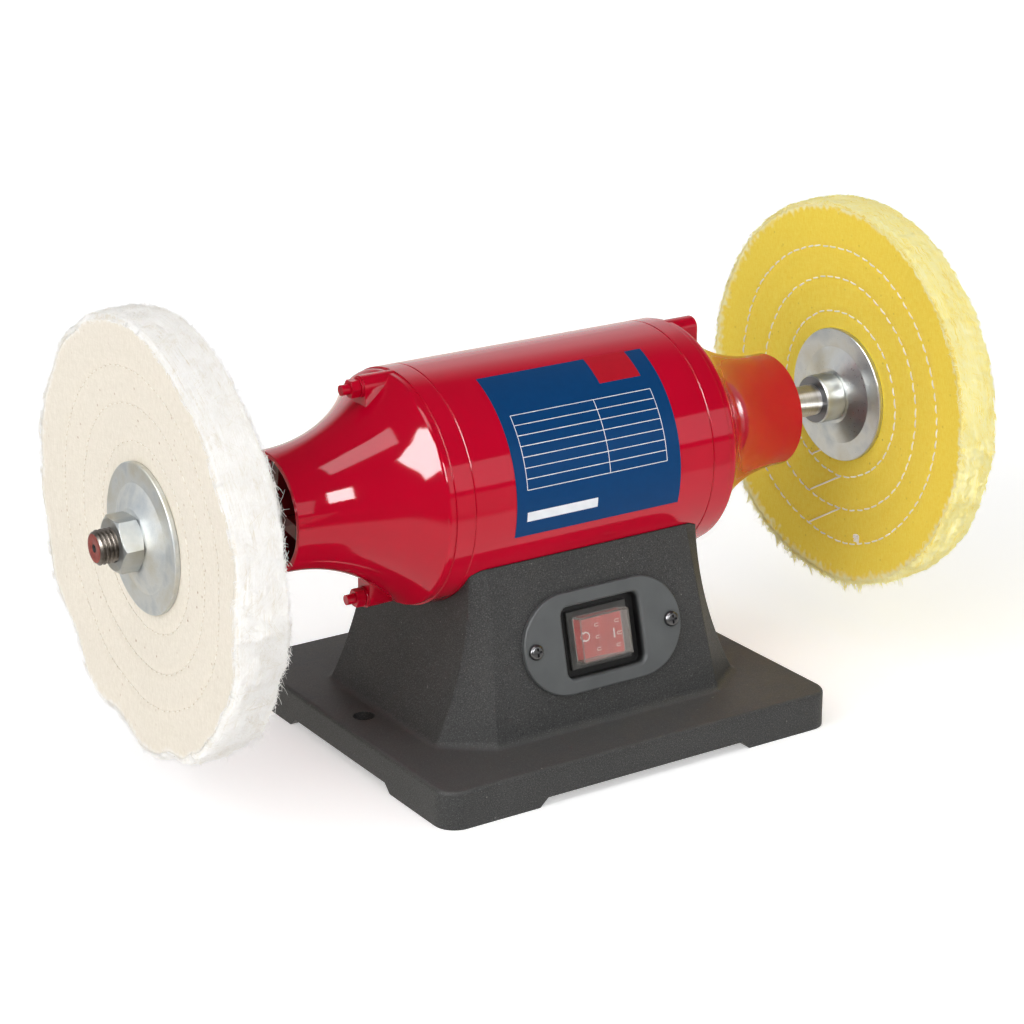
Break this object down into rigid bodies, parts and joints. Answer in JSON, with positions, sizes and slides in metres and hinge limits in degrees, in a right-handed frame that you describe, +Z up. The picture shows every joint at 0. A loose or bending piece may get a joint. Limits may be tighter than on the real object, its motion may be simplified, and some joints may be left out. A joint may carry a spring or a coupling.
{
  "type": "bench buffer",
  "caption": "Double-ended bench buffer: a motor with trumpet-shaped ends on a cast pedestal base, with a sewn cloth buff clamped on each spindle end and a covered rocker switch.",
  "frame": {"origin": "under the middle of the base, on the bench", "axes": "+X along the spindle to the yellow buff, -Y out of the front with the switch, +Z up"},
  "size_m": [0.462, 0.2, 0.2315],
  "materials": {
    "charcoal_paint": "matte",
    "red_paint": "gloss",
    "zinc_plated_steel": "satin",
    "polished_steel": "polished",
    "lamination_steel": "matte",
    "copper_winding": "satin",
    "bare_aluminium": "satin",
    "bearing_steel": "polished",
    "white_cotton": "matte",
    "yellow_cotton": "matte",
    "grey_plastic": "satin",
    "black_plastic": "matte",
    "black_screws": "satin",
    "red_plastic": "gloss",
    "clear_plastic": "gloss",
    "plated_brass": "satin",
    "black_rubber": "matte",
    "lead_insulation": "satin",
    "blue_sticker": "satin"
  },
  "bodies": {
    "stand": {"base_casting": "charcoal_paint", "bottom_cover": "zinc_plated_steel", "bottom_cover_screws": "zinc_plated_steel", "cable_gland": "black_plastic", "capacitor": "black_plastic", "capacitor_clip": "zinc_plated_steel", "capacitor_clip_nuts": "zinc_plated_steel", "capacitor_clip_screws": "zinc_plated_steel", "earth_screw": "zinc_plated_steel", "gland_locknut": "black_plastic", "internal_leads": "lead_insulation", "left_bearing_outer_ring": "bearing_steel", "left_bearing_shields": "bearing_steel", "left_end_bell": "red_paint", "motor_housing": "red_paint", "motor_mount_bolts": "zinc_plated_steel", "motor_mount_washers": "zinc_plated_steel", "motor_weld_nuts": "zinc_plated_steel", "preload_washer": "bearing_steel", "rating_label": "blue_sticker", "right_bearing_outer_ring": "bearing_steel", "right_bearing_shields": "bearing_steel", "right_end_bell": "red_paint", "stator_core": "lamination_steel", "stator_windings": "copper_winding", "switch_body": "black_plastic", "switch_boot": "clear_plastic", "switch_plate": "grey_plastic", "switch_plate_screws": "black_screws", "switch_terminals": "plated_brass", "terminal_block": "black_plastic", "terminal_block_screws": "zinc_plated_steel", "tie_bolt_nuts": "red_paint", "tie_bolt_washers": "red_paint", "tie_bolts": "red_paint", "wire_grommet": "black_rubber"},
    "spindle_group": {"spindle": "polished_steel", "rotor_core": "lamination_steel", "rotor_cage": "bare_aluminium", "left_bearing_inner_ring": "bearing_steel", "left_collar": "zinc_plated_steel", "left_inner_flange": "zinc_plated_steel", "left_outer_flange": "zinc_plated_steel", "left_spindle_nut": "zinc_plated_steel", "left_buff_wheel": "white_cotton", "right_bearing_inner_ring": "bearing_steel", "right_collar": "zinc_plated_steel", "right_inner_flange": "zinc_plated_steel", "right_outer_flange": "zinc_plated_steel", "right_spindle_nut": "zinc_plated_steel", "right_buff_wheel": "yellow_cotton"},
    "left_ball_cage": {"left_bearing_balls": "bearing_steel", "left_bearing_cage": "bearing_steel"},
    "right_ball_cage": {"right_bearing_balls": "bearing_steel", "right_bearing_cage": "bearing_steel"},
    "rocker": {"switch_rocker": "red_plastic"}
  },
  "joints": [
    {"name": "spindle_spin", "type": "hinge", "parent": "stand", "child": "spindle_group", "pos_m": [0, 0, 0.1315], "axis": [1, 0, 0], "continuous": true},
    {"name": "left_cage_spin", "type": "hinge", "parent": "stand", "child": "left_ball_cage", "pos_m": [-0.119, 0, 0.1315], "axis": [1, 0, 0], "continuous": true},
    {"name": "right_cage_spin", "type": "hinge", "parent": "stand", "child": "right_ball_cage", "pos_m": [0.119, 0, 0.1315], "axis": [1, 0, 0], "continuous": true},
    {"name": "rocker_tilt", "type": "hinge", "parent": "stand", "child": "rocker", "pos_m": [0.001, -0.05179, 0.05701], "axis": [0, 0.2291, 0.9734], "range_deg": [0, 18]}
  ],
  "couplings": [
    {"joint": "left_cage_spin", "follows": "spindle_spin", "ratio": 0.40846},
    {"joint": "right_cage_spin", "follows": "spindle_spin", "ratio": 0.40846}
  ]
}
